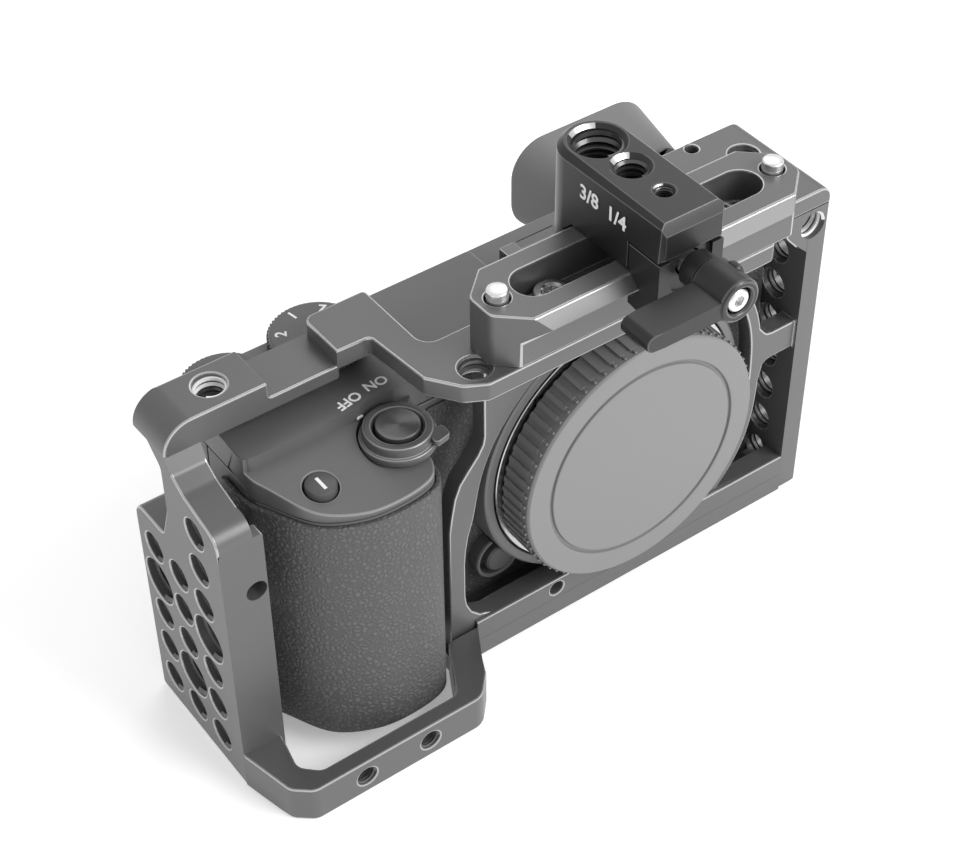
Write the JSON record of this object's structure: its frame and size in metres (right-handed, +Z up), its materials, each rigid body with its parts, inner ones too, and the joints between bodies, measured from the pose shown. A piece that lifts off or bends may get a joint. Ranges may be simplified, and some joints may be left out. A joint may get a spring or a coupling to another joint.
{
  "type": "camera rig",
  "caption": "Mirrorless camera in a milled metal cage with side grip clearance, a top quick-release rail, a sliding lever clamp and a body cap over the lens mount.",
  "frame": {"origin": "centre of the underside of the rig's bounding box", "axes": "+Z up, the lens looks along -Y, the grip is at -X"},
  "size_m": [0.137, 0.0818, 0.1039],
  "materials": {
    "cage_grey": "bead-blasted, grey anodised",
    "clamp_black": "bead-blasted, black anodised",
    "steel": "turned, bright",
    "spring_steel": "drawn wire, bare",
    "body_plastic": "fine-textured, painted dark grey",
    "control_plastic": "moulded, satin",
    "cap_plastic": "moulded, fine-grained grey",
    "grip_leather": "pebble-grained synthetic",
    "eyecup_rubber": "moulded, matt",
    "glass": "polished, dark",
    "circuit": "solder-masked board",
    "battery_wrap": "printed film over a moulded case"
  },
  "bodies": {
    "rig": {"cage_top_plate": "cage_grey", "cage_tab": "cage_grey", "cage_side_plate": "cage_grey", "cage_grip_loop": "cage_grey", "cage_base": "cage_grey", "cage_front_frame": "cage_grey", "cage_end_plate": "cage_grey", "quick_release_rail": "cage_grey", "rail_screw_left": "steel", "rail_screw_right": "steel", "lens_mount_ring": "steel", "mount_screw_1": "steel", "mount_screw_2": "steel", "mount_screw_3": "steel", "mount_screw_4": "steel", "hot_shoe": "steel", "tripod_socket": "steel", "camera_mount_screw": "steel", "pin_spring_left": "spring_steel", "pin_spring_right": "spring_steel", "front_cover": "body_plastic", "rear_cover": "body_plastic", "top_cover": "body_plastic", "mount_housing": "body_plastic", "evf_housing": "body_plastic", "shutter_unit": "body_plastic", "grip_leather": "grip_leather", "eyecup": "eyecup_rubber", "evf_window": "glass", "image_sensor": "circuit", "main_board": "circuit", "battery": "battery_wrap"},
    "clamp": {"clamp_body": "clamp_black"},
    "jaw": {"clamp_jaw": "clamp_black"},
    "screw": {"clamp_screw": "steel", "lever_spring": "spring_steel"},
    "lever": {"clamp_lever": "clamp_black"},
    "left_pin": {"rail_pin_left": "steel"},
    "right_pin": {"rail_pin_right": "steel"},
    "shutter": {"shutter_button": "steel"},
    "switch": {"power_switch": "control_plastic"},
    "function_key": {"function_button": "control_plastic"},
    "mode_wheel": {"mode_dial": "control_plastic"},
    "control_knob": {"control_dial": "control_plastic"},
    "release": {"lens_release_button": "control_plastic"},
    "lock_pin": {"lens_lock_pin": "steel"},
    "cap": {"body_cap": "cap_plastic"},
    "diopter": {"diopter_dial": "control_plastic"},
    "arm": {"screen_arm": "steel"},
    "screen": {"screen_frame": "body_plastic", "screen_glass": "glass"},
    "thumb_wheel": {"control_wheel": "control_plastic"},
    "centre_key": {"wheel_centre_button": "control_plastic"},
    "menu_key": {"menu_button": "control_plastic"},
    "fn_key": {"fn_button": "control_plastic"},
    "playback_key": {"playback_button": "control_plastic"},
    "delete_key": {"delete_button": "control_plastic"},
    "door": {"battery_door": "body_plastic"},
    "flash": {"flash_lid": "body_plastic"}
  },
  "joints": [
    {"name": "clamp_slide", "type": "slide", "parent": "rig", "child": "clamp", "axis": [1, 0, 0], "range_m": [-0.019, 0.023]},
    {"name": "jaw_slide", "type": "slide", "parent": "clamp", "child": "jaw", "axis": [0, -1, 0], "range_m": [0, 0.00161]},
    {"name": "clamp_screw_turn", "type": "hinge", "parent": "jaw", "child": "screw", "pos_m": [0.0187, -0.024, 0.09315], "axis": [0, 1, 0], "range_deg": [0, 720]},
    {"name": "lever_pull", "type": "slide", "parent": "screw", "child": "lever", "axis": [0, -1, 0], "range_m": [0, 0.003], "stiffness_N_per_m": 300, "springref_m": -0.002},
    {"name": "rail_pin_left_press", "type": "slide", "parent": "rig", "child": "left_pin", "axis": [0, 0, -1], "range_m": [0, 0.002], "stiffness_N_per_m": 400, "springref_m": -0.002, "deforming": ["pin_spring_left"]},
    {"name": "rail_pin_right_press", "type": "slide", "parent": "rig", "child": "right_pin", "axis": [0, 0, -1], "range_m": [0, 0.002], "stiffness_N_per_m": 400, "springref_m": -0.002, "deforming": ["pin_spring_right"]},
    {"name": "shutter_press", "type": "slide", "parent": "rig", "child": "shutter", "axis": [0, 0, -1], "range_m": [0, 0.001], "stiffness_N_per_m": 400, "springref_m": -0.001},
    {"name": "power_switch_turn", "type": "hinge", "parent": "rig", "child": "switch", "pos_m": [-0.029, -0.008, 0.067], "axis": [0, 0, 1], "range_deg": [0, 35]},
    {"name": "function_press", "type": "slide", "parent": "rig", "child": "function_key", "axis": [0, 0, -1], "range_m": [0, 0.0006], "stiffness_N_per_m": 400, "springref_m": -0.001},
    {"name": "mode_dial_turn", "type": "hinge", "parent": "rig", "child": "mode_wheel", "pos_m": [-0.0294, 0.0171, 0.0715], "axis": [0, 0, 1], "continuous": true},
    {"name": "control_dial_turn", "type": "hinge", "parent": "rig", "child": "control_knob", "pos_m": [-0.0496, 0.0149, 0.0715], "axis": [0, 0, 1], "continuous": true},
    {"name": "lens_release_press", "type": "slide", "parent": "rig", "child": "release", "axis": [0, 1, 0], "range_m": [0, 0.0015], "stiffness_N_per_m": 400, "springref_m": -0.001},
    {"name": "lock_pin_slide", "type": "slide", "parent": "rig", "child": "lock_pin", "axis": [0, 1, 0], "range_m": [0, 0.0015]},
    {"name": "body_cap_turn", "type": "hinge", "parent": "rig", "child": "cap", "pos_m": [0.0205, -0.0169, 0.0375], "axis": [0, 1, 0], "range_deg": [0, 60]},
    {"name": "diopter_turn", "type": "hinge", "parent": "rig", "child": "diopter", "pos_m": [0.0621, 0.0272, 0.061], "axis": [1, 0, 0], "range_deg": [-120, 120]},
    {"name": "screen_arm_swing", "type": "hinge", "parent": "rig", "child": "arm", "pos_m": [0.0195, 0.0242, 0.009], "axis": [-1, 0, 0], "range_deg": [0, 80]},
    {"name": "screen_tilt", "type": "hinge", "parent": "arm", "child": "screen", "pos_m": [0.0195, 0.0253, 0.0472], "axis": [1, 0, 0], "range_deg": [0, 45]},
    {"name": "control_wheel_turn", "type": "hinge", "parent": "rig", "child": "thumb_wheel", "pos_m": [-0.04, 0.0249, 0.024], "axis": [0, 1, 0], "continuous": true},
    {"name": "wheel_centre_press", "type": "slide", "parent": "rig", "child": "centre_key", "axis": [0, -1, 0], "range_m": [0, 0.0005], "stiffness_N_per_m": 400, "springref_m": -0.001},
    {"name": "menu_press", "type": "slide", "parent": "rig", "child": "menu_key", "axis": [0, -1, 0], "range_m": [0, 0.0005], "stiffness_N_per_m": 400, "springref_m": -0.001},
    {"name": "fn_press", "type": "slide", "parent": "rig", "child": "fn_key", "axis": [0, -1, 0], "range_m": [0, 0.0005], "stiffness_N_per_m": 400, "springref_m": -0.001},
    {"name": "playback_press", "type": "slide", "parent": "rig", "child": "playback_key", "axis": [0, -1, 0], "range_m": [0, 0.0005], "stiffness_N_per_m": 400, "springref_m": -0.001},
    {"name": "delete_press", "type": "slide", "parent": "rig", "child": "delete_key", "axis": [0, -1, 0], "range_m": [0, 0.0005], "stiffness_N_per_m": 400, "springref_m": -0.001},
    {"name": "battery_door_swing", "type": "hinge", "parent": "rig", "child": "door", "pos_m": [-0.0338, 0.0025, 0.0046], "axis": [0, -1, 0], "range_deg": [0, 90]},
    {"name": "flash_lid_lift", "type": "hinge", "parent": "rig", "child": "flash", "pos_m": [-0.0042, 0.0215, 0.0689], "axis": [-1, 0, 0], "range_deg": [0, 70]}
  ],
  "couplings": [
    {"joint": "jaw_slide", "follows": "clamp_screw_turn", "m_per_rad": 0.000128},
    {"joint": "lock_pin_slide", "follows": "lens_release_press", "ratio": 1}
  ]
}
